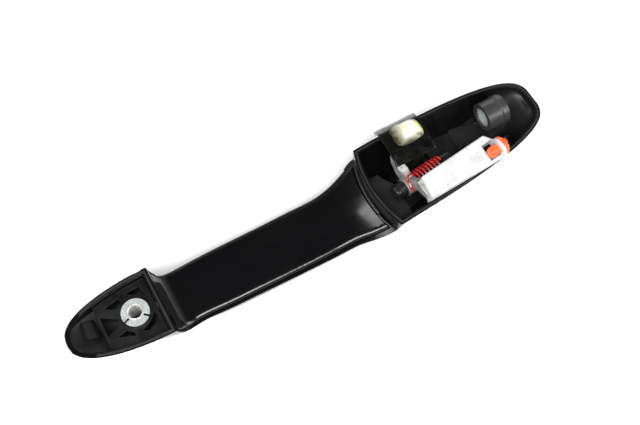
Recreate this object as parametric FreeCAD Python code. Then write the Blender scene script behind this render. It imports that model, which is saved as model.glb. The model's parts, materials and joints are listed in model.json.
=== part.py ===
"""Car door handle: fixed outer shell with two open pods, a squeeze grip in the bow,
and a latch bellcrank in the rear pod.  Millimetres.

Origin: centre of the front threaded insert's top face.  The rims of both pods lie in
the plane z = 0, which is the door skin.  +X runs from the front pod to the rear pod
and +Z points into the door.
"""
import FreeCAD, Part
import math
import os

from FreeCAD import Vector

# ---------------------------------------------------------------- driving dimensions
FRONT_TIP = -30.0        # x of the front pod's nose
FRONT_WALL = 11.6        # x of the front pod's flat inner end
FRONT_HALF = 15.8        # half width of the front pod's rim
REAR_WALL = 116.1        # x of the rear pod's inner corners
REAR_TIP = 202.8         # x of the rear pod's nose
REAR_HALF = 20.9         # half width of the rear pod's rim
WALL = 2.1               # moulded wall thickness
FRONT_CORNER = 0.7       # rounding of the front pod's inner corner on the +Y side
SIDE_WALL = 1.1          # thinner side wall beside the grip
FLOOR = 1.8              # wall thickness under the grip
BOW_HALF = 13.75         # half width of the bow where it leaves the front pod
BOW_TAPER = 0.0175       # growth of that half width per millimetre of x
BOW_DEPTH = 26.6         # deepest point of the cosmetic face below the rims
FRONT_DEPTH = 21.2       # depth of the cosmetic face at the front pod's inner end
REAR_DEPTH = 25.5        # depth of the cosmetic face at the rear pod's inner corners
GRIP_THICK = 1.8         # thickness of the grip plate
GRIP_ROUND = (3.0, 1.5)  # width and height of the rounded shoulder on the grip's -Y edge
GRIP_PROUD = 1.5         # height of the grip's face above the wall on its -Y side
NEAR_WALL_ZONE = -8.0    # the shell lies GRIP_PROUD below the grip's face from here to the -Y side
FAR_ROUND = 1.0          # radius along the top of the wall on the grip's +Y side
GRIP_GAP = 0.3           # side gap between grip plate and shell
SWING = 0.7              # how far the pulled grip's front end shifts along x
GRIP_TRAVEL = 2.2        # degrees that the grip turns when it is pulled
PIVOT = Vector(124.5, -4.4, -5.0)    # left end of the bellcrank's pivot pin
PIVOT_YAW = 6.6          # degrees the pivot axis turns away from +X
PIN_R = 1.75             # bellcrank pivot pin
GRIP_PIN = (17.0, -14.0)             # x, z of the grip's hinge pin
GRIP_PIN_R = 1.5
RUNNING = 0.05           # radial running clearance of a pin in its bore
THREAD_R = 2.5           # minor radius of the M6 front insert
BUSH_BORE_R = 3.6        # rear socket bore
ROD_R = 1.6              # bore of the rod clip
SEAL_START = -21.0       # x where the front rim's seal starts, behind the smooth nose
BIG = 60.0               # size that reaches past everything when cutting

# plan outlines of the two pods, as superellipse halves closed by a wall
FRONT = dict(wall=FRONT_WALL, tip=FRONT_TIP, half=FRONT_HALF, p=2.10, q=2.48,
             yc=-0.23, skew=-0.016, bulge=0.0)
REAR = dict(wall=REAR_WALL, tip=REAR_TIP, half=REAR_HALF, p=2.42, q=3.45,
            yc=0.28, skew=0.055, bulge=3.6)

X = Vector(1, 0, 0)
Y = Vector(0, 1, 0)
Z = Vector(0, 0, 1)
parts = {}


# ---------------------------------------------------------------- small tools
def box(x0, x1, y0, y1, z0, z1):
    return Part.makeBox(x1 - x0, y1 - y0, z1 - z0, Vector(x0, y0, z0))


def rod(radius, start, end):
    """Cylinder between two points."""
    run = end - start
    return Part.makeCylinder(radius, run.Length, start, run)


def tube(outer, inner, start, end):
    run = (end - start).normalize()
    return rod(outer, start, end).cut(rod(inner, start - run, end + run))


def curve(points):
    spline = Part.BSplineCurve()
    spline.interpolate(points)
    return spline.toShape()


def prism(points, direction):
    """Solid from a closed polygon pushed along a vector."""
    return Part.Face(Part.makePolygon(points + [points[0]])).extrude(direction)


def fuse(first, *others):
    return first.fuse(list(others)).removeSplitter()


def largest(shape):
    """The biggest solid, without slivers that a cut leaves behind."""
    return max(shape.Solids, key=lambda solid: solid.Volume)


def smooth(t):
    t = min(1.0, max(0.0, t))
    return t * t * (3 - 2 * t)


# ---------------------------------------------------------------- outline formulas
def pod_centre(pod, x):
    return pod["yc"] + pod["skew"] * (x - pod["wall"])


def pod_half(pod, x, inset=0.0):
    """Half width of a pod's rim at x, drawn in by an inset."""
    run = pod["tip"] - pod["wall"]
    reach = abs(run) - inset
    u = min(1.0, max(0.0, (x - pod["wall"]) * math.copysign(1.0, run) / reach))
    return (pod["half"] - inset) * max(0.0, 1 - u ** pod["p"]) ** (1 / pod["q"])


def pod_depth(pod, x):
    """Depth of the cosmetic face below the rim along a pod."""
    if pod is FRONT:
        u = (FRONT_WALL - x) / (FRONT_WALL - FRONT_TIP)
        return FRONT_DEPTH * max(0.0, 1 - abs(u) ** 2.3) ** 0.48
    u = (x - REAR_WALL) / (REAR_TIP - REAR_WALL)
    return REAR_DEPTH * max(0.0, 1 - abs(u) ** 2.3) ** 0.5


def bow_depth(x):
    middle = 78.0
    if x < middle:
        return BOW_DEPTH - (BOW_DEPTH - FRONT_DEPTH) * ((middle - x) / (middle - FRONT_WALL)) ** 2
    return BOW_DEPTH - (BOW_DEPTH - REAR_DEPTH) * ((x - middle) / (REAR_WALL - middle)) ** 2


def side(x, sign):
    """Distance of the handle's side from y = 0 at rim level: sign +1 is the +Y side."""
    for pod, inside in ((FRONT, x <= FRONT_WALL), (REAR, x >= REAR_WALL)):
        if inside:
            return pod_half(pod, x) + sign * pod_centre(pod, x)
    plain = BOW_HALF + BOW_TAPER * (x - FRONT_WALL)
    front_run = 3.2 if sign > 0 else 14.0
    front_end = FRONT_HALF + sign * FRONT["yc"] - (FRONT_CORNER if sign > 0 else 0.0)
    rear_end = REAR_HALF + sign * REAR["yc"]
    front = (front_end - BOW_HALF) * (1 - smooth((x - FRONT_WALL) / front_run))
    if sign > 0:
        t = min(1.0, max(0.0, (x - 92.0) / 21.5)) ** 1.6
    else:
        t = smooth((x - 96.0) / (REAR_WALL - 96.0))
    return plain + front + (rear_end - plain) * t


def draft(x, sign):
    """Inward lean of the outer side per millimetre of depth: the pods lean, the bow doesn't."""
    lean = 0.30 * (1 - smooth((x + 4.0) / 24.0)) + 0.32 * smooth((x - 98.0) / 38.0)
    return lean if sign < 0 else 0.35 * lean


def squareness(x):
    """Superellipse power of the section: full in the bow, softer in the pods."""
    return 2.6 + 2.2 * smooth((x - 10.0) / 34.0) * (1 - smooth((x - 88.0) / 28.0))


def depth_at(x):
    if x < FRONT_WALL:
        return pod_depth(FRONT, x)
    return pod_depth(REAR, x) if x > REAR_WALL else bow_depth(x)


UNDER = 2.4              # superellipse power across the section


def outer_y(x, sign, depth):
    """Distance of the bow's outer skin from y = 0 at a depth below the rims."""
    shrink = max(0.0, 1 - (depth / depth_at(x)) ** squareness(x)) ** (1 / UNDER)
    return (side(x, sign) - draft(x, sign) * depth) * shrink


def grip_height(x):
    """z of the grip's finger face along the bow."""
    base = -10.2 - 2.9 * smooth((x - 19.0) / 70.0)
    front_rise = 9.6 * math.exp((12.0 - x) / 2.4)
    rear_rise = 4.8 * (max(0.0, x - 92.0) / 21.0) ** 2
    return base + front_rise + rear_rise


def grip_low(x):
    """Depth of the grip plate's underside when it is pulled all the way."""
    travel = max(0.0, x - GRIP_PIN[0]) * math.tan(math.radians(GRIP_TRAVEL))
    return max(4.0, GRIP_THICK - grip_height(x) + travel)


def grip_edge(x, sign):
    """Distance of the grip plate's edge from y = 0, clear of the wall over the whole travel."""
    return outer_y(x, sign, grip_low(x)) - SIDE_WALL - GRIP_GAP


# ---------------------------------------------------------------- lofted volumes
def section(x, y_low, y_high, z_side, z_low, power, z_top):
    """Closed U-shaped wire across the handle: straight sides, rounded underside."""
    centre = (y_low + y_high) / 2
    half = (y_high - y_low) / 2
    steps = 16
    points = []
    for i in range(steps + 1):
        a = math.pi * i / steps
        c = math.cos(a)
        y = centre + half * math.copysign(abs(c) ** (2 / power), c)
        z = z_side - (z_side - z_low) * max(0.0, math.sin(a)) ** (2 / power)
        points.append(Vector(x, y, z))
    points[0].y = centre + half
    points[-1].y = centre - half
    points[0].z = z_side
    points[-1].z = z_side
    low = curve(points)
    left = Vector(x, centre - half, z_top)
    right = Vector(x, centre + half, z_top)
    return Part.Wire([low, Part.makeLine(points[-1], left), Part.makeLine(left, right),
                      Part.makeLine(right, points[0])])


def skin_wire(x, half, centre, depth, z_top):
    """Closed wire across the handle: leaning sides that run into a rounded underside."""
    steps = 11
    points = []
    for i in range(-steps, steps + 1):
        a = math.pi / 2 * (1 - abs(i) / steps)
        sign = -1 if i > 0 else 1
        drop = depth * math.sin(a) ** (2 / squareness(x))
        reach = (half - draft(x, sign) * drop) * max(0.0, math.cos(a)) ** (2 / UNDER)
        points.append(Vector(x, centre + sign * reach, -drop))
    low = Part.BSplineCurve()
    low.interpolate(Points=points, Parameters=[i / (2 * steps) for i in range(2 * steps + 1)])
    right = Vector(x, points[0].y, z_top)
    left = Vector(x, points[-1].y, z_top)
    return Part.Wire([low.toShape(), Part.makeLine(points[-1], left), Part.makeLine(left, right),
                      Part.makeLine(right, points[0])])


NOSE_STEPS = (0.05, 0.16, 0.3, 0.43, 0.55, 0.66, 0.75, 0.83, 0.89, 0.935, 0.965, 0.985, 0.9985)


def pod_wires(pod, inset, z_top, start):
    """Sections of a pod beyond x = start, up to its nose, drawn in by an inset."""
    direction = math.copysign(1.0, pod["tip"] - pod["wall"])
    full = abs(pod["tip"] - pod["wall"])
    wires = []
    for t in NOSE_STEPS:
        x = pod["wall"] + direction * (full - inset) * t
        if (x - start) * direction < 1.0:
            continue
        half = pod_half(pod, x, inset)
        depth = max(1.2 + 0.4 * half, pod_depth(pod, pod["wall"] + direction * full * t) - inset)
        wires.append(skin_wire(x, half, pod_centre(pod, x), depth, z_top))
    return wires


BOW_STEPS = (11.6, 12.6, 13.8, 15.2, 17.0, 20.0, 25.0, 32.0, 42.0, 54.0, 68.0, 80.0, 88.0, 94.0, 99.0, 103.0,
             106.5, 109.5, 112.0, 114.0, 116.1)


def outer_volume():
    """The whole handle's outside as one skin from nose to nose, filled up to the rims."""
    above = 1.0
    wires = list(reversed(pod_wires(FRONT, 0.0, above, FRONT_WALL)))
    for x in BOW_STEPS:
        half = (side(x, 1) + side(x, -1)) / 2
        wires.append(skin_wire(x, half, (side(x, 1) - side(x, -1)) / 2, depth_at(x), above))
    skin = Part.makeLoft(wires + pod_wires(REAR, 0.0, above, REAR_WALL), True, False)
    return skin.common(box(FRONT_TIP - BIG, REAR_TIP + BIG, -BIG, BIG, -BIG, 0))


def pod_volume(pod, inset, z_top, start):
    """Hollow of a pod from x = start to its nose."""
    half = pod_half(pod, pod["wall"], inset)
    depth = abs(depth_at(pod["wall"])) - inset
    first = skin_wire(start, half, pod_centre(pod, pod["wall"]), depth, z_top)
    return Part.makeLoft([first] + pod_wires(pod, inset, z_top, start), True, False)


def channel_volume():
    """Space that the grip sinks into: straight sides, rounded floor."""
    wires = []
    for x in (10.0, 12.0, 14.0, 17.0, 21.0, 27.0, 36.0, 48.0, 62.0, 76.0, 88.0, 95.0, 101.0, 106.0, 110.0, 114.0,
              119.0):
        low = -grip_edge(x, -1) - GRIP_GAP
        high = max(grip_edge(x, 1), grip_edge(x - SWING, 1)) + GRIP_GAP
        drop = grip_low(x) + 0.4
        wires.append(section(x, low, high, -drop, FLOOR - depth_at(x), 2.0, 4.0))
    return Part.makeLoft(wires, True, False)


def rear_wall_side(offset, toward_rear):
    """Everything on one side of the rear pod's bulged wall, moved by an offset."""
    x0 = REAR_WALL + offset
    ends = [Vector(x0 + 0.3, -BIG, -BIG), Vector(x0 + 0.3, -21.5, -BIG),
            Vector(x0 - REAR["bulge"], 0, -BIG), Vector(x0 + 0.3, 21.5, -BIG),
            Vector(x0 + 0.3, BIG, -BIG)]
    arc = Part.Arc(ends[1], ends[2], ends[3]).toShape()
    far = REAR_TIP + BIG if toward_rear else -BIG - BIG
    c0 = Vector(far, BIG, -BIG)
    c1 = Vector(far, -BIG, -BIG)
    wire = Part.Wire([Part.makeLine(ends[0], ends[1]), arc, Part.makeLine(ends[3], ends[4]),
                      Part.makeLine(ends[4], c0), Part.makeLine(c0, c1), Part.makeLine(c1, ends[0])])
    return Part.Face(wire).extrude(Vector(0, 0, 2 * BIG))


def pod_face(pod, inset, z):
    """Flat face inside a pod's rim outline, drawn in by an inset."""
    direction = math.copysign(1.0, pod["tip"] - pod["wall"])
    reach = abs(pod["tip"] - pod["wall"]) - inset
    wall = pod["wall"] + direction * inset
    points = []
    steps = 18
    for i in range(-steps, steps + 1):
        a = math.pi / 2 * i / steps
        x = pod["wall"] + direction * reach * max(0.0, math.cos(a)) ** (2 / pod["p"])
        half = (pod["half"] - inset) * abs(math.sin(a)) ** (2 / pod["q"])
        points.append(Vector(x, pod_centre(pod, x) + math.copysign(half, i), z))
    points[0] = Vector(wall, points[0].y, z)
    points[-1] = Vector(wall, points[-1].y, z)
    nose = curve(points)
    if pod["bulge"]:
        middle = Vector(wall - pod["bulge"], 0, z)
        close = Part.Arc(points[-1], middle, points[0]).toShape()
    else:
        close = Part.makeLine(points[-1], points[0])
    return Part.Face(Part.Wire([nose, close]))


def rim_ring(pod, outer, inner, depth):
    """Strip that follows a pod's rim, from z = 0 down."""
    ring = pod_face(pod, outer, 0.0).cut(pod_face(pod, inner, 0.0))
    return ring.extrude(Vector(0, 0, -depth))


def front_seal(outer, inner):
    """The front rim's strip, which leaves out the nose."""
    return rim_ring(FRONT, outer, inner, 0.9).common(box(SEAL_START, BIG, -BIG, BIG, -5, 5))


def finger_gap(drop=0.0, x0=FRONT_WALL + 0.1, x1=REAR_WALL + 1.0):
    """Space above the bow's finger face, between the two pods."""
    count = 26
    low = []
    for i in range(count + 1):
        t = i / count
        x = x0 + (x1 - x0) * t ** 1.7
        low.append(Vector(x, -BIG, grip_height(x) - drop))
    a = Vector(x1, -BIG, 20)
    b = Vector(x0, -BIG, 20)
    wire = Part.Wire([curve(low), Part.makeLine(low[-1], a), Part.makeLine(a, b), Part.makeLine(b, low[0])])
    return Part.Face(wire).extrude(Vector(0, 2 * BIG, 0))


def far_edge_rounding():
    """Cutter that rounds the top of the bow's +Y wall into its outer skin."""
    out = 1.5
    bend = FAR_ROUND * (1 - math.sqrt(0.5))
    wires = []
    for x in (14.0, 16.0, 18.5, 22.0, 28.0, 38.0, 52.0, 68.0, 82.0, 92.0, 98.0, 103.0, 107.0, 110.5):
        top = grip_height(x)
        skin = outer_y(x, 1, FAR_ROUND - top)
        a = Vector(x, skin - FAR_ROUND, top)
        b = Vector(x, skin, top - FAR_ROUND)
        corners = [b, Vector(x, skin + out, top - FAR_ROUND), Vector(x, skin + out, top + out),
                   Vector(x, skin - FAR_ROUND, top + out), a]
        arc = Part.Arc(a, Vector(x, skin - bend, top - bend), b).toShape()
        wires.append(Part.Wire([arc] + [Part.makeLine(p, q) for p, q in zip(corners, corners[1:])]))
    return Part.makeLoft(wires, True, False)


# ---------------------------------------------------------------- fixed shell
TONGUE_Y = (1.0, 7.4)        # the grip's tongue passes here into the rear pod
TONGUE_Z = (-14.6, -13.2)
TONGUE_END = 146.5


def front_cavity(inset=WALL, z_top=4.0):
    return pod_volume(FRONT, inset, z_top, FRONT_WALL - inset)


def rear_cavity(inset=WALL, z_top=4.0):
    return pod_volume(REAR, inset, z_top, REAR_WALL - 4.5).common(rear_wall_side(inset + 0.3, True))


def pin_boss(sign, outside):
    x, z = GRIP_PIN
    return rod(2.6, Vector(x, sign * 9.2, z), Vector(x, sign * 15.0, z)).common(outside)


def outer_shell():
    outside = outer_volume()
    flush = finger_gap(0.0, FRONT_WALL, REAR_WALL + 1.0).common(rear_wall_side(0.0, False))
    hand = finger_gap(GRIP_PROUD, FRONT_WALL, REAR_WALL + 1.0).common(rear_wall_side(0.0, False))
    hand = hand.common(box(-BIG, 2 * REAR_TIP, -BIG, NEAR_WALL_ZONE, -BIG, BIG))
    channel = channel_volume().common(box(FRONT_WALL + 0.6, 140, -BIG, BIG, -BIG, BIG))
    channel = channel.common(rear_wall_side(-0.6, False))
    tunnel = box(108, 122, TONGUE_Y[0] - 0.8, TONGUE_Y[1] + 0.8, -22.4, -12.2)
    body = outside.cut(flush).cut(hand).cut(far_edge_rounding())
    body = body.cut([channel, front_cavity(), rear_cavity(), tunnel])
    body = body.cut([front_seal(0.75, 1.55), rim_ring(REAR, 0.75, 1.55, 0.9)])
    body = body.fuse([pin_boss(-1, outside), pin_boss(1, outside)])
    return body.cut(grip_pin())


# ---------------------------------------------------------------- front pod pieces
WEB_TOP = -2.0
NOSE_END = -15.0             # x where the smooth nose ends and the ribbed web starts
DISH_R = 30.0                # radius of the nose's hollow face
DISH = (-8.0, -0.5, 23.2)    # its centre
POCKETS = (
    ((-0.8, 9.9), (5.9, 10.3), (6.8, 5.4), (3.2, 7.4)),
    ((-11.0, 8.0), (-3.9, 9.4), (-3.4, 7.4), (-6.1, 5.3)),
    ((-14.0, 5.4), (-7.6, 1.6), (-8.2, -1.6), (-13.8, -3.8)),
    ((-10.6, -5.9), (-6.4, -4.9), (-3.6, -7.3), (-3.9, -8.8)),
    ((-0.4, -8.2), (7.2, -3.2), (7.4, -7.2), (2.0, -9.6)),
)


def front_base():
    """Ribbed web below the front rim, with the boss that holds the insert."""
    web = pod_face(FRONT, WALL + 0.5, -9.0).extrude(Vector(0, 0, WEB_TOP + 9.0))
    web = web.common(front_cavity(WALL + 0.15))
    web = web.common(box(NOSE_END, BIG, -BIG, BIG, -BIG, BIG))
    cap = box(FRONT_TIP, NOSE_END, -BIG, BIG, -9.0, -0.05).cut(Part.makeSphere(DISH_R, Vector(*DISH)))
    web = web.fuse(cap.common(front_cavity(WALL + 0.15)))
    for corners in POCKETS:
        web = web.cut(prism([Vector(px, py, -7.6) for px, py in corners], Vector(0, 0, 9)))
    boss = rod(7.2, Vector(0, 0, -13.5), Vector(0, 0, WEB_TOP))
    web = web.fuse(boss.common(front_cavity(WALL + 0.15)))
    web = web.cut(rod(6.1, Vector(0, 0, WEB_TOP - 0.5), Vector(0, 0, 1)))
    return web.cut([rod(3.3, Vector(0, 0, -12.2), Vector(0, 0, 1)), front_tab()])


def front_insert():
    body = rod(3.3, Vector(0, 0, -12.2), Vector(0, 0, 0))
    collar = rod(5.6, Vector(0, 0, WEB_TOP - 0.5), Vector(0, 0, WEB_TOP + 0.3))
    return fuse(body, collar).cut(rod(THREAD_R, Vector(0, 0, -13), Vector(0, 0, 1)))


def insert_washer():
    """Flat spring washer round the insert, notched on two sides."""
    ring = tube(6.0, 3.32, Vector(0, 0, WEB_TOP + 0.3), Vector(0, 0, -0.5))
    for degrees in (200, 318):
        notch = box(3.6, 7.0, -0.55, 0.55, WEB_TOP, 0).rotate(Vector(0, 0, 0), Z, degrees)
        ring = ring.cut(notch)
    return ring


def front_tab():
    """Wedge in the nose that centres the handle in the door skin."""
    low = -1.2
    side = [Vector(-23.0, low, -12), Vector(-23.0, low, -3.2), Vector(-20.8, low, -1.0),
            Vector(-16.6, low, -4.4), Vector(-15.6, low, -12)]
    return prism(side, Vector(0, 8.0, 0)).common(front_cavity(WALL + 0.1))


# ---------------------------------------------------------------- rear pod pieces
DECK = -14.0
SHELF = -8.7             # top of the ledge along the rear pod's inner wall
BOSS_Y = 9.2
BOSS_Z = -5.0
BOSS_X = (178.5, 189.5)
BASE_SCREWS = ((161.0, -2.5, DECK - 1.0), (168.5, -1.5, DECK))


def mech(u, v, h):
    """Point in the bellcrank's own frame: u along the pivot axis, h upward."""
    a = math.radians(PIVOT_YAW)
    return PIVOT + Vector(u * math.cos(a) - v * math.sin(a), u * math.sin(a) + v * math.cos(a), h)


def place(shape):
    """Move a shape drawn round the origin into the bellcrank's frame."""
    moved = shape.copy()
    moved.rotate(Vector(0, 0, 0), Z, PIVOT_YAW)
    moved.translate(PIVOT)
    return moved


def post(u0, u1):
    column = box(u0, u1, -3.6, 3.6, -17.0, 0.0).fuse(rod(3.6, Vector(u0, 0, 0), Vector(u1, 0, 0)))
    return place(column.cut(rod(PIN_R, Vector(u0 - 1, 0, 0), Vector(u1 + 1, 0, 0))))


def rear_base():
    """Carrier in the rear pod: sill, two pivot posts, deck and boss pedestal."""
    sill = box(120.5, 152.0, -16.0, 0.0, -19.6, -17.4)
    deck = box(150.0, 193.0, -BIG, BIG, DECK - 2.6, DECK - 1.0)
    riser = box(150.0, 152.0, -16.0, BIG, -19.6, DECK - 1.0)
    shelf = box(112.0, 126.4, -BIG, 9.0, SHELF - 2.4, SHELF)
    shelf = shelf.cut(rod(30.0, Vector(150.0, 20.0, SHELF - 4), Vector(150.0, 20.0, 0)))
    rim_points = [Vector(164.0, -20, DECK - 1.6), Vector(164.0, 13.5, DECK - 1.6),
                  Vector(166.5, 16.5, DECK - 1.6), Vector(173.5, 19.5, DECK - 1.6),
                  Vector(193.0, 20.5, DECK - 1.6), Vector(193.0, -20, DECK - 1.6)]
    platform = prism(rim_points, Vector(0, 0, 1.6))
    pedestal = box(BOSS_X[0] + 0.6, BOSS_X[1] - 0.4, 3.4, 15.6, DECK - 2, BOSS_Z)
    ribs = [box(175.5, 187.0, -2.8 - 2.2 * i, -2.0 - 2.2 * i, DECK - 2, -10.5) for i in range(2)]
    body = sill.fuse([deck, riser, platform, pedestal, shelf] + ribs)
    body = body.cut(rod(7.02, Vector(BOSS_X[0] - 1, BOSS_Y, BOSS_Z), Vector(BOSS_X[1] + 1, BOSS_Y, BOSS_Z)))
    for x, y, z in BASE_SCREWS:
        body = body.cut(rod(1.2, Vector(x, y, z - 1.4), Vector(x, y, z + 1)))
    return largest(body.fuse([post(0.6, 3.5), post(25.0, 28.4)]).common(rear_cavity(WALL + 0.1)))


def rear_screw_boss():
    body = rod(7.0, Vector(BOSS_X[0], BOSS_Y, BOSS_Z), Vector(BOSS_X[1], BOSS_Y, BOSS_Z))
    body = body.common(rear_cavity(WALL + 0.1))
    collar = rod(7.35, Vector(186.2, BOSS_Y, BOSS_Z), Vector(188.4, BOSS_Y, BOSS_Z))
    collar = collar.common(box(180, 195, 0, 20, BOSS_Z + 1.0, 10)).common(rear_cavity(WALL + 0.1))
    bore = rod(4.7, Vector(BOSS_X[0] - 1, BOSS_Y, BOSS_Z), Vector(BOSS_X[1] + 1, BOSS_Y, BOSS_Z))
    return fuse(body, collar).cut(bore)


def rear_bush():
    return tube(4.7, BUSH_BORE_R, Vector(BOSS_X[0] + 0.8, BOSS_Y, BOSS_Z), Vector(BOSS_X[1] - 0.2, BOSS_Y, BOSS_Z))


def base_screw(x, y, z):
    """Pan head screw with a cross recess, standing on a face at height z."""
    head = rod(2.4, Vector(x, y, z), Vector(x, y, z + 1.5))
    shank = rod(1.2, Vector(x, y, z - 1.4), Vector(x, y, z))
    slots = [box(x - 1.5, x + 1.5, y - 0.3, y + 0.3, z + 0.7, z + 2),
             box(x - 0.3, x + 0.3, y - 1.5, y + 1.5, z + 0.7, z + 2)]
    return fuse(head, shank).cut(slots)


def pivot_pin():
    shank = rod(PIN_R, Vector(0, 0, 0), Vector(30.6, 0, 0))
    head = rod(3.1, Vector(-1.6, 0, 0), Vector(0.6, 0, 0))
    head = head.makeFillet(0.5, [e for e in head.Edges if e.BoundBox.XMax < -1.5])
    groove = tube(3.0, 1.3, Vector(28.7, 0, 0), Vector(29.5, 0, 0))
    return place(fuse(shank, head).cut(groove))


def pin_clip():
    ring = tube(3.4, 1.32, Vector(28.75, 0, 0), Vector(29.45, 0, 0))
    return place(ring.cut(box(28, 30, -1.1, 1.1, -4, 0)))


def stop_bumper():
    """Rubber pad on the deck's riser, under the arm's outer end."""
    pad = box(154.2, 158.8, -8.6, -4.0, DECK - 1.0, DECK + 2.2)
    return pad.makeFillet(0.8, [e for e in pad.Edges if e.BoundBox.ZMin > DECK + 2]).common(rear_cavity(WALL + 0.1))


# ---------------------------------------------------------------- grip
def grip_section(x):
    """Wire across the grip plate: crowned face, a round shoulder on the -Y edge only."""
    top = grip_height(x)
    thick = GRIP_THICK + 3.0 * math.exp((12.0 - x) / 2.4)
    low = top - thick
    near = -grip_edge(x, -1)
    far = grip_edge(x, 1)
    wide, high = GRIP_ROUND
    shoulder = []
    for degrees in (90, 68, 46, 23, 0):
        a = math.radians(degrees)
        shoulder.append(Vector(x, near + wide * (1 - math.sin(a)), top - high * (1 - math.cos(a))))
    b = shoulder[-1]
    c = Vector(x, far, top)
    d = Vector(x, far, low + 0.9)
    e = Vector(x, far - 0.9, low)
    f = Vector(x, near + 0.9, low)
    rise = 0.1 + 0.6 * smooth((x - 94.0) / 16.0)
    crown = Part.Arc(b, Vector(x, (b.y + far) / 2, top + rise), c).toShape()
    return Part.Wire([curve(shoulder), crown, Part.makeLine(c, d), Part.makeLine(d, e), Part.makeLine(e, f),
                      Part.makeLine(f, shoulder[0])])


def grip_plate():
    """Finger face of the bow with hinge lugs in front and a tongue behind."""
    x0 = FRONT_WALL + 0.8
    stations = (x0, 13.0, 13.8, 14.8, 16.2, 18.0, 21.0, 26.0, 34.0, 46.0, 60.0, 74.0, 86.0, 94.0, 100.0, 105.0,
                109.0, 113.0, 117.0)
    plate = Part.makeLoft([grip_section(x) for x in stations], True, False)
    plate = plate.common(rear_wall_side(-1.3, False))
    tongue = box(96.0, TONGUE_END, TONGUE_Y[0], TONGUE_Y[1], TONGUE_Z[0], TONGUE_Z[1])
    prop = box(100.0, 106.0, TONGUE_Y[0], TONGUE_Y[1], TONGUE_Z[0] + 0.2, -12.9)
    x, z = GRIP_PIN
    shape = plate.fuse([tongue, prop])
    for sign in (-1, 1):
        lug = box(x - 2.8, x + 2.8, sign * 7.0 - 1.5, sign * 7.0 + 1.5, z, grip_height(x + 2.8) - 0.9)
        eye = rod(2.8, Vector(x, sign * 7.0 - 1.5, z), Vector(x, sign * 7.0 + 1.5, z))
        shape = shape.fuse([lug, eye])
    for rib_y in (-6.7, 5.3):
        rib = [Vector(rx, rib_y, rz) for rx, rz in ((30, -16.6), (30, -11.4), (88, -13.9), (88, -16.6))]
        shape = shape.fuse(prism(rib, Vector(0, 1.4, 0)))
    return shape.cut(rod(GRIP_PIN_R + RUNNING, Vector(x, -10, z), Vector(x, 10, z)))


def grip_pin():
    x, z = GRIP_PIN
    return rod(GRIP_PIN_R, Vector(x, -11.2, z), Vector(x, 10.6, z))


HOOK_X = (127.0, 147.0)
HOOK_THICK = 1.6


def ribbon(points, thickness, x0, x1):
    """Bent strip: a smooth line in the YZ plane, thickened and pushed along X."""
    spline = Part.BSplineCurve()
    spline.interpolate([Vector(x0, y, z) for y, z in points])
    steps = 14
    upper = []
    lower = []
    for i in range(steps + 1):
        t = spline.FirstParameter + (spline.LastParameter - spline.FirstParameter) * i / steps
        at = spline.value(t)
        side = spline.tangent(t)[0].cross(X).normalize() * (thickness / 2)
        upper.append(at + side)
        lower.append(at - side)
    lower.reverse()
    wire = Part.Wire([curve(upper), Part.makeLine(upper[-1], lower[0]), curve(lower),
                      Part.makeLine(lower[-1], upper[0])])
    return Part.Face(wire).extrude(Vector(x1 - x0, 0, 0))


HOOK_TOP = ((20.9, 5.9), (20.3, 7.2), (18.2, 8.3), (15.0, 8.8), (10.5, 8.7), (6.0, 7.8), (1.8, 6.0))


def pull_hook():
    """Bent leg that rises from the tongue and reaches over the bellcrank's finger."""
    x0, x1 = HOOK_X
    foot = box(x0, x1 - 1.0, TONGUE_Y[0], TONGUE_Y[1], TONGUE_Z[1], TONGUE_Z[1] + HOOK_THICK)
    web = ribbon(((6.8, -12.4), (11.2, -10.4), (15.0, -4.5), (17.2, 1.0), (17.7, 8.0)), HOOK_THICK, x0 + 6, x1)
    top = ribbon(HOOK_TOP, HOOK_THICK, x0, x1)
    return fuse(top, web, foot)


def hook_pad():
    """Low pad of damping grease on the rear two thirds of the hook's top."""
    line = [(y, z + HOOK_THICK / 2 + 0.35) for y, z in ((19.0, 7.9), (15.0, 8.5), (11.5, 8.7), (7.6, 8.3))]
    pad = ribbon(line, 0.66, 131.5, 146.0)
    return pad.cut(pull_hook())


def hook_rivet(x):
    y = (TONGUE_Y[0] + TONGUE_Y[1]) / 2 - 1.0
    top = TONGUE_Z[1] + HOOK_THICK
    head = rod(1.8, Vector(x, y, top), Vector(x, y, top + 1.0))
    return head.makeFillet(0.5, [e for e in head.Edges if e.BoundBox.ZMin > top + 0.9])


# ---------------------------------------------------------------- bellcrank
CLIP_V = -12.6           # rod clip axis, in the bellcrank's frame
CLIP_H = 10.2
ARM_ROUND = 0.7
ARM_TOP = ((7.7, -4.4), (43.0, -4.4), (46.4, -8.4), (46.4, -16.2), (38.3, -15.9), (5.0, -14.1))


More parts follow.
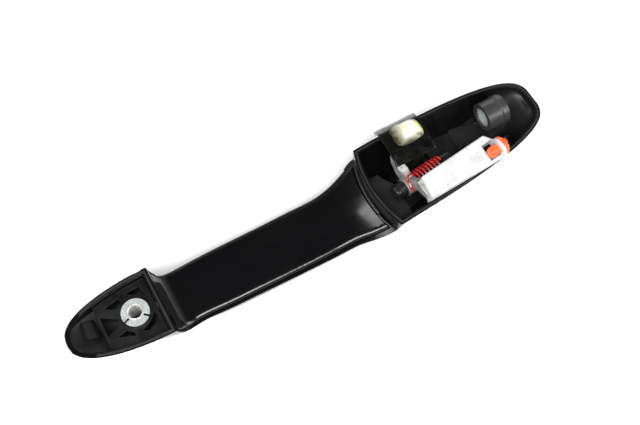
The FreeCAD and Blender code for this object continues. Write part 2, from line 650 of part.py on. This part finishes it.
def bellcrank():
    """Cast lever: hub, curved finger under the hook, and the long arm."""
    hub = rod(4.2, Vector(3.9, 0, 0), Vector(8.3, 0, 0))
    centre = ((8.0, -1.5), (7.6, 2.8), (6.2, 5.9), (5.8, 8.8), (6.6, 12.6))
    outer = [Vector(u - 1.9, v, -9) for u, v in centre]
    inner = [Vector(u + 1.9, v, -9) for u, v in reversed(centre)]
    plan = Part.Wire([curve(outer), Part.makeLine(outer[-1], inner[0]), curve(inner),
                      Part.makeLine(inner[-1], outer[0])])
    rise = [Vector(2, v, h) for v, h in ((-2, -3), (-2, 4.0), (3, 5.6), (7, 8.6), (11, 11.6), (13, 12.0),
                                         (13, 9.0), (9, 5.4), (5, 0.5), (2, -3))]
    finger = Part.Face(plan).extrude(Vector(0, 0, 26)).common(prism(rise, Vector(12, 0, 0)))
    finger = finger.common(box(3.9, 8.6, -5, 15, -9, 20))
    slope = [Vector(4, v, h) for v, h in ((-4.4, 13.0), (-16.4, 9.1), (-16.4, 5.7), (-4.4, 8.6))]
    arm = prism([Vector(u, v, 0) for u, v in ARM_TOP], Vector(0, 0, 20)).common(prism(slope, Vector(46, 0, 0)))
    bevel = [Vector(3.0, -BIG, 13.6), Vector(9.6, -BIG, 13.6), Vector(3.0, -BIG, 5.5)]
    arm = arm.cut(prism(bevel, Vector(0, 2 * BIG, 0)))
    arm = arm.makeFillet(ARM_ROUND, [e for e in arm.Edges if e.BoundBox.ZMax > 8.9])
    web = prism([Vector(6.0, v, h) for v, h in ((2, -3.4), (2, 3.6), (-5, 11.0), (-13.6, 8.4), (-12.5, 5.9),
                                                (-5.0, 4.0), (-2.6, -3.2))], Vector(2.4, 0, 0))
    pocket = box(39.4, 45.0, -15.4, -7.8, 7.3, 20)
    end_wall = rod(4.7, Vector(45.0, CLIP_V, CLIP_H), Vector(46.4, CLIP_V, CLIP_H))
    shape = hub.fuse([finger, web, arm]).cut(pocket).fuse(end_wall)
    shape = shape.cut(rod(2.45 + RUNNING, Vector(44, CLIP_V, CLIP_H), Vector(48, CLIP_V, CLIP_H)))
    return place(shape.cut(rod(2.6, Vector(3, 0, 0), Vector(12, 0, 0))))


def hub_bush():
    return place(tube(2.6, PIN_R + RUNNING, Vector(3.9, 0, 0), Vector(8.3, 0, 0)))


def rod_clip():
    """Plastic clip that snaps into the arm's end wall and grips the latch rod."""
    axis = [Vector(u, CLIP_V, CLIP_H) for u in (43.0, 46.5, 47.9)]
    neck = rod(2.45, axis[0], axis[1])
    ball = Part.makeSphere(2.6, Vector(42.2, CLIP_V, CLIP_H), X)
    flange = rod(4.6, axis[1], axis[2])
    shape = fuse(ball, neck, flange)
    return place(shape.cut(rod(ROD_R, Vector(41.0, CLIP_V, CLIP_H), Vector(50, CLIP_V, CLIP_H))))


def clip_gate():
    """Turn-over gate of the rod clip, outside the flange."""
    ring = tube(3.4, ROD_R, Vector(47.9, CLIP_V, CLIP_H), Vector(49.1, CLIP_V, CLIP_H))
    arm = box(47.9, 49.1, CLIP_V - 1.0, CLIP_V + 1.0, CLIP_H + 2.0, CLIP_H + 4.4)
    return place(ring.fuse(arm))


# ---------------------------------------------------------------- torsion spring
SPRING_U = (9.2, 24.2)
SPRING_TURNS = 8
SPRING_R = 4.0
WIRE_R = 0.55


SPRING_LEG = ((0.0, 0.0, 4.0), (-0.8, 1.5, 5.5), (-2.2, 1.5, 6.0), (-3.9, 0.2, 5.4), (-4.4, -2.2, 4.7),
              (-4.4, -4.4, 3.2))


def torsion_spring():
    """Coil round the pivot pin, with one leg bent over the hub."""
    length = SPRING_U[1] - SPRING_U[0]
    helix = Part.makeLongHelix(length / SPRING_TURNS, length, SPRING_R)
    helix.rotate(Vector(0, 0, 0), Y, 90)
    helix.rotate(Vector(0, 0, 0), X, 180)
    helix.translate(Vector(SPRING_U[0], 0, 0))
    profile = Part.Wire(Part.makeCircle(WIRE_R, Vector(SPRING_U[0], 0, SPRING_R), Vector(0, 1, 0.15)))
    coil = Part.Wire(helix.Edges).makePipeShell([profile], True, True)
    path = Part.Wire(curve([Vector(SPRING_U[0] + u, v, h) for u, v, h in SPRING_LEG]))
    start = Part.Wire(Part.makeCircle(WIRE_R, path.Vertexes[0].Point, Vector(-0.4, 0.6, 0.6)))
    leg = path.makePipeShell([start], True, True)
    return place(coil.fuse([leg, Part.makeSphere(WIRE_R + 0.03, Vector(SPRING_U[0], 0, SPRING_R))]))


# ---------------------------------------------------------------- write the parts
def build():
    parts["outer_shell"] = outer_shell()
    parts["front_base"] = front_base()
    parts["front_insert"] = front_insert()
    parts["insert_washer"] = insert_washer()
    parts["front_tab"] = front_tab()
    parts["front_gasket"] = front_seal(0.8, 1.5)
    parts["rear_gasket"] = rim_ring(REAR, 0.8, 1.5, 0.9)
    parts["rear_base"] = rear_base()
    parts["rear_screw_boss"] = rear_screw_boss()
    parts["rear_bush"] = rear_bush()
    for i, (x, y, z) in enumerate(BASE_SCREWS):
        parts["base_screw_%d" % (i + 1)] = base_screw(x, y, z)
    parts["pivot_pin"] = pivot_pin()
    parts["pin_clip"] = pin_clip()
    parts["stop_bumper"] = stop_bumper()
    parts["grip_pin"] = grip_pin()
    parts["grip_plate"] = grip_plate()
    parts["pull_hook"] = pull_hook()
    parts["hook_pad"] = hook_pad()
    for i, x in enumerate((131.0, 141.5)):
        parts["hook_rivet_%d" % (i + 1)] = hook_rivet(x)
    parts["bellcrank"] = bellcrank()
    parts["hub_bush"] = hub_bush()
    parts["rod_clip"] = rod_clip()
    parts["clip_gate"] = clip_gate()
    parts["torsion_spring"] = torsion_spring()


build()
os.makedirs("parts", exist_ok=True)
for name, shape in parts.items():
    solids = shape.Solids
    if len(solids) == 1:
        shape = solids[0]
    shape.exportStep("parts/%s.step" % name)
    print(name, len(solids), shape.isValid(), round(shape.Volume, 1))
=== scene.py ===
"""Looks for the car door handle: camera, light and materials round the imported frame."""
import json
import math
import random

import bmesh
import bpy
from mathutils import Matrix, Vector
from mathutils.bvhtree import BVHTree


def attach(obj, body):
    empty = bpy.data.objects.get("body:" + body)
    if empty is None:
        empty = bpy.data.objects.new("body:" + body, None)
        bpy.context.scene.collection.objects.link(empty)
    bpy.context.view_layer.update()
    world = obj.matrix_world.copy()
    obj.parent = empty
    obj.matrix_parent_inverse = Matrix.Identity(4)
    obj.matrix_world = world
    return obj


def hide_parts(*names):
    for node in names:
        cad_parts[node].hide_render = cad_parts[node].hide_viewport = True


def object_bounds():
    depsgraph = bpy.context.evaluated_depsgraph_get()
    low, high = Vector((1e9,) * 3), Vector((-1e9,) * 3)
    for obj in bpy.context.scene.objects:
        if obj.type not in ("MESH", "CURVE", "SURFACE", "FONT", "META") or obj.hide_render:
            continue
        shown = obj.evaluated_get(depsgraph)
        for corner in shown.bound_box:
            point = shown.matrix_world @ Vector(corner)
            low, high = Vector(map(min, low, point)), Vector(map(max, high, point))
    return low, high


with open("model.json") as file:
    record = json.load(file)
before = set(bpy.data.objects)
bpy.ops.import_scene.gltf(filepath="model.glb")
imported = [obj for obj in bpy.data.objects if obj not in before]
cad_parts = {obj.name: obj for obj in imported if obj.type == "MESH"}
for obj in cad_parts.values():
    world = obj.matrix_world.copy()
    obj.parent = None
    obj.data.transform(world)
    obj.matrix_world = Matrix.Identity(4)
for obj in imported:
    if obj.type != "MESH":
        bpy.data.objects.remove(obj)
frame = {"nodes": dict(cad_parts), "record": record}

CAD_BOX = [list(corner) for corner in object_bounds()]
NODES = frame["nodes"]
BODIES = frame["record"]["behaviour"]["bodies"]
SLOT = {entry["node"]: entry["material_slot"] for entry in frame["record"]["subparts"]}
FLOOR_Z = CAD_BOX[0][2]
MM = 0.001
TURN = 2 * math.pi
BLACK = (0.0, 0.0, 0.0)


# ---------------------------------------------------------------- node helpers
def new_material(name):
    mat = bpy.data.materials.new(name)
    mat.use_nodes = True
    return mat, mat.node_tree.nodes["Principled BSDF"]


def link(mat, a, b):
    mat.node_tree.links.new(a, b)


def noise(mat, scale, detail=4.0, rough=0.55, stretch=(1, 1, 1)):
    nodes = mat.node_tree.nodes
    coords = nodes.new("ShaderNodeTexCoord")
    mapping = nodes.new("ShaderNodeMapping")
    mapping.inputs["Scale"].default_value = stretch
    tex = nodes.new("ShaderNodeTexNoise")
    tex.inputs["Scale"].default_value = scale
    tex.inputs["Detail"].default_value = detail
    tex.inputs["Roughness"].default_value = rough
    link(mat, coords.outputs["Object"], mapping.inputs["Vector"])
    link(mat, mapping.outputs["Vector"], tex.inputs["Vector"])
    return tex.outputs["Fac"]


def ramp(mat, source, low, high, start=0.35, end=0.65):
    """Blend from low to high, each a value or a colour, as the source goes from start to end."""
    node = mat.node_tree.nodes.new("ShaderNodeValToRGB")
    elements = node.color_ramp.elements
    elements[0].position = start
    elements[1].position = end
    for element, value in zip(elements, (low, high)):
        colour = value if isinstance(value, tuple) else (value, value, value)
        element.color = (*colour, 1)
    link(mat, source, node.inputs["Fac"])
    return node.outputs["Color"]


def mix(mat, factor, a, b):
    """Colour a where the factor is 0 and b where it is 1, each a colour or an output."""
    node = mat.node_tree.nodes.new("ShaderNodeMix")
    node.data_type = "RGBA"
    link(mat, factor, node.inputs["Factor"])
    for socket, value in ((node.inputs["A"], a), (node.inputs["B"], b)):
        if isinstance(value, tuple):
            socket.default_value = (*value, 1)
        else:
            link(mat, value, socket)
    return node.outputs["Result"]


def bump(mat, shader, height, strength, distance, radius=0.0002):
    """Fine relief, on top of edges that are softened by a small radius."""
    soft = mat.node_tree.nodes.new("ShaderNodeBevel")
    soft.samples = 6
    soft.inputs["Radius"].default_value = radius
    node = mat.node_tree.nodes.new("ShaderNodeBump")
    node.inputs["Strength"].default_value = strength
    node.inputs["Distance"].default_value = distance
    link(mat, soft.outputs["Normal"], node.inputs["Normal"])
    link(mat, height, node.inputs["Height"])
    link(mat, node.outputs["Normal"], shader.inputs["Normal"])


def mask(mat, source, axis, start, end):
    """Mask over one component of a coordinate: 0 before start, 1 after end."""
    nodes = mat.node_tree.nodes
    coords = nodes.new("ShaderNodeTexCoord")
    split = nodes.new("ShaderNodeSeparateXYZ")
    reach = nodes.new("ShaderNodeMapRange")
    reach.interpolation_type = "SMOOTHSTEP"
    reach.inputs["From Min"].default_value = start
    reach.inputs["From Max"].default_value = end
    link(mat, coords.outputs[source], split.inputs["Vector"])
    link(mat, split.outputs[axis], reach.inputs["Value"])
    return reach.outputs["Result"]


def along(mat, axis, start, end):
    """Mask over the part's own coordinates, in millimetres."""
    return mask(mat, "Object", axis, start * MM, end * MM)


def facing(mat, axis, start, end):
    """Mask over the surface normal."""
    return mask(mat, "Normal", axis, start, end)


def scratches(mat, scale, amount, stretch):
    """Sparse fine streaks, 0 on clean surface and 1 in a scratch."""
    return ramp(mat, noise(mat, scale, 2, 0.5, stretch), 0.0, 1.0, 1 - amount, 1 - amount * 0.6)


def feed(mat, shader, socket, source, low, high, start=0.35, end=0.65):
    """Drive one of the shader's sockets by a ramp."""
    link(mat, ramp(mat, source, low, high, start, end), shader.inputs[socket])


# ---------------------------------------------------------------- materials
def gloss_black():
    """Polished moulding, duller on the inner wall at the rear pod's end."""
    mat, shader = new_material("gloss_black_moulding")
    polish = ramp(mat, noise(mat, 45, 5, 0.6, (1, 2.5, 2.5)), 0.11, 0.19)
    inner_wall = mix(mat, along(mat, "X", 184, 188), BLACK, facing(mat, "X", 0.0, -0.15))
    link(mat, mix(mat, inner_wall, polish, (0.42, 0.42, 0.42)), shader.inputs["Roughness"])
    feed(mat, shader, "Base Color", noise(mat, 12), (0.0022, 0.0022, 0.0026), (0.0045, 0.0045, 0.005))
    bump(mat, shader, noise(mat, 500, 2), 0.02, 0.0001, 0.00025)
    return mat


def black_nylon(low=0.002, high=0.006, green=1.0):
    """Fine-grained moulding with paler scuffs; green above 1 is the cast of an oil film."""
    mat, shader = new_material("black_nylon_grain")
    tone = ramp(mat, noise(mat, 60, 6), (low, low * green, low), (high, high * green, high))
    scuffs = scratches(mat, 260, 0.34, (0.4, 2.0, 2.0))
    link(mat, mix(mat, scuffs, tone, (high * 2.2, high * 2.2, high * 2.1)), shader.inputs["Base Color"])
    feed(mat, shader, "Roughness", noise(mat, 120, 5), 0.30, 0.48)
    shader.inputs["Specular IOR Level"].default_value = 0.36
    bump(mat, shader, noise(mat, 1500, 3), 0.2, 0.0002, 0.0003)
    return mat


def satin_tube():
    mat, shader = new_material("satin_black_tube")
    feed(mat, shader, "Base Color", noise(mat, 90, 5), (0.022, 0.022, 0.022), (0.045, 0.045, 0.043))
    feed(mat, shader, "Roughness", noise(mat, 160, 5, 0.6, (1, 4, 4)), 0.20, 0.34)
    bump(mat, shader, noise(mat, 1100, 3), 0.12, 0.0001, 0.0004)
    return mat


def zinc_plate():
    mat, shader = new_material("bright_zinc_plate")
    feed(mat, shader, "Base Color", noise(mat, 180, 5, 0.6), (0.50, 0.53, 0.53), (0.62, 0.65, 0.65))
    feed(mat, shader, "Roughness", noise(mat, 300, 4), 0.20, 0.32)
    shader.inputs["Metallic"].default_value = 0.45
    bump(mat, shader, noise(mat, 1400, 3), 0.06, 0.0001, 0.0003)
    return mat


def turned_steel():
    """Bright steel with fine rings from turning about the Z axis."""
    mat, shader = new_material("turned_bright_steel")
    rings = noise(mat, 400, 3, 0.5, (1, 1, 6))
    feed(mat, shader, "Base Color", rings, (0.72, 0.72, 0.70), (0.88, 0.88, 0.87))
    feed(mat, shader, "Roughness", noise(mat, 700, 4), 0.20, 0.32)
    shader.inputs["Metallic"].default_value = 0.7
    bump(mat, shader, noise(mat, 1500, 2, 0.5, (1, 1, 5)), 0.05, 0.0001, 0.0002)
    return mat


def cast_zinc():
    """Bright arm with darker stains; the hub and finger at its front end are the same zinc, painted greyer
    as shade.
    """
    mat, shader = new_material("cast_zinc_arm")
    bright = ramp(mat, noise(mat, 110, 6, 0.62), (0.50, 0.51, 0.52), (0.68, 0.69, 0.69), 0.30, 0.62)
    stain = ramp(mat, noise(mat, 200, 5, 0.55), 0.0, 1.0, 0.50, 0.80)
    arm = mix(mat, stain, bright, (0.42, 0.42, 0.42))
    # Painted shade: hub and finger are the arm's zinc painted greyer, where they tilt away from the light.
    hub_painted_shade = ramp(mat, noise(mat, 500, 5, 0.65), (0.16, 0.16, 0.155), (0.40, 0.40, 0.39), 0.32, 0.66)
    link(mat, mix(mat, along(mat, "X", 132.6, 133.8), hub_painted_shade, arm), shader.inputs["Base Color"])
    feed(mat, shader, "Roughness", noise(mat, 400, 5), 0.26, 0.46)
    shader.inputs["Metallic"].default_value = 0.30
    bump(mat, shader, noise(mat, 600, 4), 0.2, 0.0002, 0.0005)
    return mat


def dark_steel():
    mat, shader = new_material("oiled_dark_steel")
    feed(mat, shader, "Base Color", noise(mat, 300, 5), (0.008, 0.008, 0.009), (0.026, 0.026, 0.028))
    feed(mat, shader, "Roughness", noise(mat, 500, 3), 0.07, 0.18)
    shader.inputs["Metallic"].default_value = 0.25
    bump(mat, shader, noise(mat, 1200, 3), 0.10, 0.0001, 0.0005)
    return mat


def hook_black():
    """Oily black enamel with a painted grey highlight along the curled far edge, and pale flecks at its near
    edge.
    """
    mat, shader = new_material("hook_black_enamel")
    enamel = ramp(mat, noise(mat, 200, 5), (0.002, 0.002, 0.002), (0.006, 0.006, 0.005))
    flecks = ramp(mat, noise(mat, 900, 3, 0.7, (1, 2, 2)), 0.0, 1.0, 0.66, 0.73)
    near_flecks = mix(mat, along(mat, "Y", 9.5, 6.5), BLACK, flecks)
    flecked = mix(mat, near_flecks, enamel, (0.22, 0.22, 0.21))
    # Painted highlight: grey along the curled far edge, where that edge catches the light.
    far_edge_highlight = ramp(mat, noise(mat, 330, 5, 0.6), (0.07, 0.07, 0.07), (0.26, 0.26, 0.25), 0.30, 0.65)
    link(mat, mix(mat, along(mat, "Y", 18.0, 19.6), flecked, far_edge_highlight), shader.inputs["Base Color"])
    feed(mat, shader, "Roughness", noise(mat, 260, 5), 0.06, 0.18)
    shader.inputs["Specular IOR Level"].default_value = 0.35
    bump(mat, shader, noise(mat, 420, 4), 0.18, 0.0003, 0.0004)
    return mat


def cream_grease():
    """Dirty cream smear with an olive film, and a yellow-green stripe of painted shade along its rear edge,
    where its side face is in shadow.
    """
    mat, shader = new_material("cream_grease_smear")
    cream = ramp(mat, noise(mat, 260, 5), (0.60, 0.57, 0.40), (0.78, 0.77, 0.66), 0.32, 0.58)
    dirt = ramp(mat, noise(mat, 700, 3, 0.6), 0.0, 1.0, 0.68, 0.74)
    dirty = mix(mat, dirt, cream, (0.10, 0.09, 0.05))
    film = mat.node_tree.nodes.new("ShaderNodeAttribute")
    film.attribute_name = "film"
    smear = mix(mat, film.outputs["Fac"], dirty, (0.030, 0.030, 0.010))
    # Painted shade: yellow-green stripe along the rear edge stands for the smear's side face in shadow.
    smear_with_painted_side_shade = mix(mat, along(mat, "X", 144.4, 145.0), smear, (0.42, 0.44, 0.10))
    link(mat, smear_with_painted_side_shade, shader.inputs["Base Color"])
    feed(mat, shader, "Roughness", noise(mat, 500, 4), 0.18, 0.38)
    shader.inputs["Subsurface Weight"].default_value = 0.15
    shader.inputs["Subsurface Scale"].default_value = 0.001
    bump(mat, shader, noise(mat, 420, 5), 0.4, 0.0003)
    return mat


def red_spring():
    mat, shader = new_material("red_enamelled_wire")
    feed(mat, shader, "Base Color", noise(mat, 350, 4), (0.34, 0.006, 0.010), (0.62, 0.025, 0.028))
    feed(mat, shader, "Roughness", noise(mat, 700, 3), 0.10, 0.20)
    shader.inputs["Coat Weight"].default_value = 0.8
    shader.inputs["Coat Roughness"].default_value = 0.06
    bump(mat, shader, noise(mat, 1500, 3), 0.05, 0.0001, 0.0001)
    return mat


def orange_plastic():
    mat, shader = new_material("orange_acetal")
    feed(mat, shader, "Base Color", noise(mat, 220, 4), (0.78, 0.07, 0.012), (0.95, 0.17, 0.04))
    feed(mat, shader, "Roughness", noise(mat, 500, 3), 0.25, 0.40)
    shader.inputs["Subsurface Weight"].default_value = 0.1
    shader.inputs["Subsurface Scale"].default_value = 0.001
    bump(mat, shader, noise(mat, 900, 3), 0.15, 0.0001, 0.0005)
    return mat


def natural_nylon():
    mat, shader = new_material("natural_nylon")
    feed(mat, shader, "Base Color", noise(mat, 200, 4), (0.55, 0.54, 0.48), (0.72, 0.70, 0.62))
    feed(mat, shader, "Roughness", noise(mat, 400, 4), 0.4, 0.55)
    bump(mat, shader, noise(mat, 1100, 3), 0.15, 0.0001)
    return mat


def rubber():
    mat, shader = new_material("soft_black_rubber")
    feed(mat, shader, "Base Color", noise(mat, 250, 4), (0.004, 0.004, 0.004), (0.010, 0.010, 0.010))
    feed(mat, shader, "Roughness", noise(mat, 500, 3), 0.5, 0.7)
    bump(mat, shader, noise(mat, 1600, 3), 0.3, 0.0002, 0.0002)
    return mat


# One finish per material slot of the record, and two finishes of this script's own.
FINISHES = {
    "gloss_black": gloss_black(),
    "black_nylon": black_nylon(),
    "satin_black": satin_tube(),
    "rim_seal": rubber(),
    "rubber_pad": rubber(),
    "zinc_plate": zinc_plate(),
    "cast_zinc": cast_zinc(),
    "dark_steel": dark_steel(),
    "hook_black": hook_black(),
    "cream_grease": cream_grease(),
    "red_spring": red_spring(),
    "orange_plastic": orange_plastic(),
    "natural_nylon": natural_nylon(),
    "turned_steel": turned_steel(),
    "oily_nylon": black_nylon(0.005, 0.014, 1.10),
}
OWN_FINISH = {"rear_base": "oily_nylon"}


def dress(node, obj):
    """Give a CAD node's object the finish of its slot, or its own."""
    finish = FINISHES[OWN_FINISH.get(node, SLOT[node])]
    for entry in obj.material_slots:
        entry.material = finish
    if not obj.material_slots:
        obj.data.materials.append(finish)


for name, obj in NODES.items():
    dress(name, obj)


# ---------------------------------------------------------------- pieces rebuilt here
def replacement(name, points, faces, finish, node):
    """Smooth mesh from points in millimetres, which rides on the CAD node's body, with the CAD node hidden.
    """
    mesh = bpy.data.meshes.new(name)
    mesh.from_pydata([[c * MM for c in point] for point in points], [], faces)
    mesh.polygons.foreach_set("use_smooth", [True] * len(mesh.polygons))
    mesh.materials.append(FINISHES[finish])
    obj = bpy.data.objects.new(name, mesh)
    bpy.context.collection.objects.link(obj)
    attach(obj, next(body for body, nodes in BODIES.items() if node in nodes))
    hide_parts(node)
    return obj


def insert_profile():
    """Closed outline (radius, height) of the insert: side, rounded top edge, flared mouth, thread."""
    bore, side, bottom = 2.5, 3.3, -12.2
    edge_width, edge_height = 0.2, 0.3
    mouth_width, mouth_depth, mouth_top = 0.62, 3.4, -0.02
    thread_top, half_pitch, crest, groove = -4.0, 0.5, 0.12, 0.06
    quarter = [math.pi / 2 * i / 10 for i in range(11)]
    outline = [(side, bottom), (side, -0.9)]
    for a in quarter:
        outline.append((side - edge_width * (1 - math.cos(a)), edge_height * (math.sin(a) - 1)))
    for a in quarter:
        outline.append((bore + mouth_width * (1 - math.sin(a)), mouth_top - mouth_depth * (1 - math.cos(a))))
    turns = math.ceil((thread_top - bottom - 0.6) / half_pitch)
    for turn in range(turns):
        radius = bore - crest if turn % 2 else bore + groove
        outline.append((radius, thread_top - half_pitch * turn))
    outline.append((bore, bottom))
    return outline


def threaded_insert():
    """Insert turned from its outline about the Z axis."""
    around = 72
    outline = insert_profile()
    points = []
    for radius, height in outline:
        for i in range(around):
            a = TURN * i / around
            points.append((radius * math.cos(a), radius * math.sin(a), height))
    faces = []
    for k in range(len(outline)):
        low = k * around
        high = (k + 1) % len(outline) * around
        for i in range(around):
            j = (i + 1) % around
            faces.append((low + i, low + j, high + j, high + i))
    replacement("threaded_insert", points, faces, "turned_steel", "front_insert")


def close_mesh(mesh):
    """Join the points that coincide, and turn every face outwards."""
    weld = bmesh.new()
    weld.from_mesh(mesh)
    bmesh.ops.remove_doubles(weld, verts=weld.verts, dist=1e-6)
    bmesh.ops.recalc_face_normals(weld, faces=weld.faces)
    weld.to_mesh(mesh)
    weld.free()


def grease_smear():
    """Irregular low mound on the hook's top, laid on the hook's real surface."""
    around, rings = 96, 14
    centre = (138.6, 13.4)
    half = (7.1, 5.5)
    thick, skin, sunk = 0.20, 0.01, 0.05
    squareness = 3.4
    torn_depth, torn_least, torn_at = 0.10, 0.2, math.radians(215)
    front_start, front_run = centre[0] - 1.4, 4.6
    near_start, near_run = centre[1] - 2.2, 3.0
    edge_start, edge_rise = 0.85, 3.0
    film_curve = 0.6
    hook = BVHTree.FromObject(NODES["pull_hook"], bpy.context.evaluated_depsgraph_get())
    draw = random.Random(7)
    waves = [(k, draw.uniform(0, TURN), draw.uniform(0.3, 1.0) / k) for k in range(3, 23)]
    points = []
    films = []

    def on_hook(x, y, lift):
        hit = hook.ray_cast(Vector((x * MM, y * MM, 20 * MM)), Vector((0, 0, -1)))[0]
        return x, y, hit.z / MM + lift

    def place(f, i, top):
        """Add a point at the share f of the way out, with its film: 0 is thick cream, 1 is bare film."""
        a = TURN * i / around
        c, s = math.cos(a), math.sin(a)
        square = (abs(c) ** squareness + abs(s) ** squareness) ** (-1 / squareness)
        ragged = sum(size * math.sin(k * a + phase) for k, phase, size in waves)
        torn = torn_least + 0.5 + 0.5 * math.cos(a - torn_at)
        reach = square * (1 + torn_depth * ragged * torn) * f
        x = centre[0] + half[0] * c * reach
        y = centre[1] + half[1] * s * reach
        dome = thick * (1 - f ** 3) * (0.8 + 0.2 * math.sin(0.9 * x) * math.cos(1.1 * y))
        points.append(on_hook(x, y, dome + skin if top else -sunk))
        front = (front_start - x) / front_run + 0.25 * ragged * f
        near = (near_start - y) / near_run + 0.5 * ragged * f
        edge = edge_rise * (f - edge_start)
        films.append(min(1.0, max(0.0, front, near, edge)) ** film_curve)

    for top in (True, False):
        for r in range(rings + 1):
            for i in range(around):
                place(r / rings, i, top)
    faces = []
    layer = (rings + 1) * around
    for start, flipped in ((0, False), (layer, True)):
        for low in range(start, start + rings * around, around):
            for i in range(around):
                j = (i + 1) % around
                quad = (low + i, low + around + i, low + around + j, low + j)
                faces.append(quad[::-1] if flipped else quad)
    rim = rings * around
    for i in range(around):
        j = (i + 1) % around
        faces.append((rim + i, layer + rim + i, layer + rim + j, rim + j))
    obj = replacement("grease_smear", points, faces, "cream_grease", "hook_pad")
    obj.data.attributes.new("film", "FLOAT", "POINT").data.foreach_set("value", films)
    close_mesh(obj.data)


threaded_insert()
grease_smear()


# ---------------------------------------------------------------- floor, light, camera
def floor():
    size = 3.0
    corners = [(x, y, FLOOR_Z) for x, y in ((-size, -size), (size, -size), (size, size), (-size, size))]
    mesh = bpy.data.meshes.new("floor")
    mesh.from_pydata(corners, [], [(0, 1, 2, 3)])
    mat, shader = new_material("white_paper")
    feed(mat, shader, "Base Color", noise(mat, 30), (0.93, 0.93, 0.94), (0.96, 0.96, 0.965))
    shader.inputs["Roughness"].default_value = 0.9
    mesh.materials.append(mat)
    obj = bpy.data.objects.new("floor", mesh)
    bpy.context.collection.objects.link(obj)


def lamp(name, size, power, place, target):
    data = bpy.data.lights.new(name, "AREA")
    data.shape = "RECTANGLE"
    data.size = size[0]
    data.size_y = size[1]
    data.energy = power
    obj = bpy.data.objects.new(name, data)
    obj.location = place
    obj.rotation_euler = (Vector(target) - Vector(place)).to_track_quat("-Z", "Y").to_euler()
    bpy.context.collection.objects.link(obj)


def lights():
    """Long strip overhead, weaker lamps round it, and a small lamp for the flare next to the rear pod."""
    middle = (0.088, 0.0, 0.0)
    lamp("strip", (1.9, 0.38), 29, (-0.60, -0.52, 1.00), (-0.60, 0.0, 0.0))
    lamp("left_side", (0.9, 0.6), 3, (-0.95, 0.25, 0.55), middle)
    lamp("right_side", (0.9, 0.6), 9, (0.95, -0.60, 0.60), middle)
    lamp("far_side", (1.8, 0.5), 4, (0.15, 1.20, 0.65), middle)
    lamp("rear_flare", (0.25, 0.25), 1.3, (-0.50, 0.30, 1.05), middle)


def studio():
    """Surroundings that are white below and at the sides, and dark overhead."""
    world = bpy.data.worlds.new("studio")
    world.use_nodes = True
    nodes = world.node_tree.nodes
    links = world.node_tree.links
    coords = nodes.new("ShaderNodeTexCoord")
    split = nodes.new("ShaderNodeSeparateXYZ")
    shade = nodes.new("ShaderNodeValToRGB")
    links.new(coords.outputs["Generated"], split.inputs["Vector"])
    links.new(split.outputs["Z"], shade.inputs["Fac"])
    links.new(shade.outputs["Color"], nodes["Background"].inputs["Color"])
    sides, overhead = shade.color_ramp.elements
    sides.position = 0.25
    sides.color = (1, 1, 1, 1)
    overhead.position = 0.72
    overhead.color = (0.05, 0.05, 0.055, 1)
    nodes["Background"].inputs["Strength"].default_value = 0.65
    bpy.context.scene.world = world
    bpy.context.scene.view_settings.view_transform = "Standard"


def camera():
    """Camera above the handle's back, turned about its own axis by a small roll."""
    azimuth, elevation, roll = (math.radians(a) for a in (-28.860, 65.103, -0.497))
    target = Vector((88.416, 1.797, 0))
    distance = 371.3
    level = math.cos(elevation)
    back = Vector((math.sin(azimuth) * level, -math.cos(azimuth) * level, math.sin(elevation)))
    flat_right = Vector((math.cos(azimuth), math.sin(azimuth), 0))
    flat_up = back.cross(flat_right)
    right = math.cos(roll) * flat_right + math.sin(roll) * flat_up
    up = math.cos(roll) * flat_up - math.sin(roll) * flat_right
    data = bpy.data.cameras.new("camera")
    data.sensor_width = 36.0
    data.lens = 48.18
    data.clip_start = 0.01
    obj = bpy.data.objects.new("camera", data)
    place = target * MM + back * distance * MM
    obj.matrix_world = Matrix.Translation(place) @ Matrix((right, up, back)).transposed().to_4x4()
    bpy.context.collection.objects.link(obj)
    bpy.context.scene.camera = obj


floor()
lights()
studio()
camera()
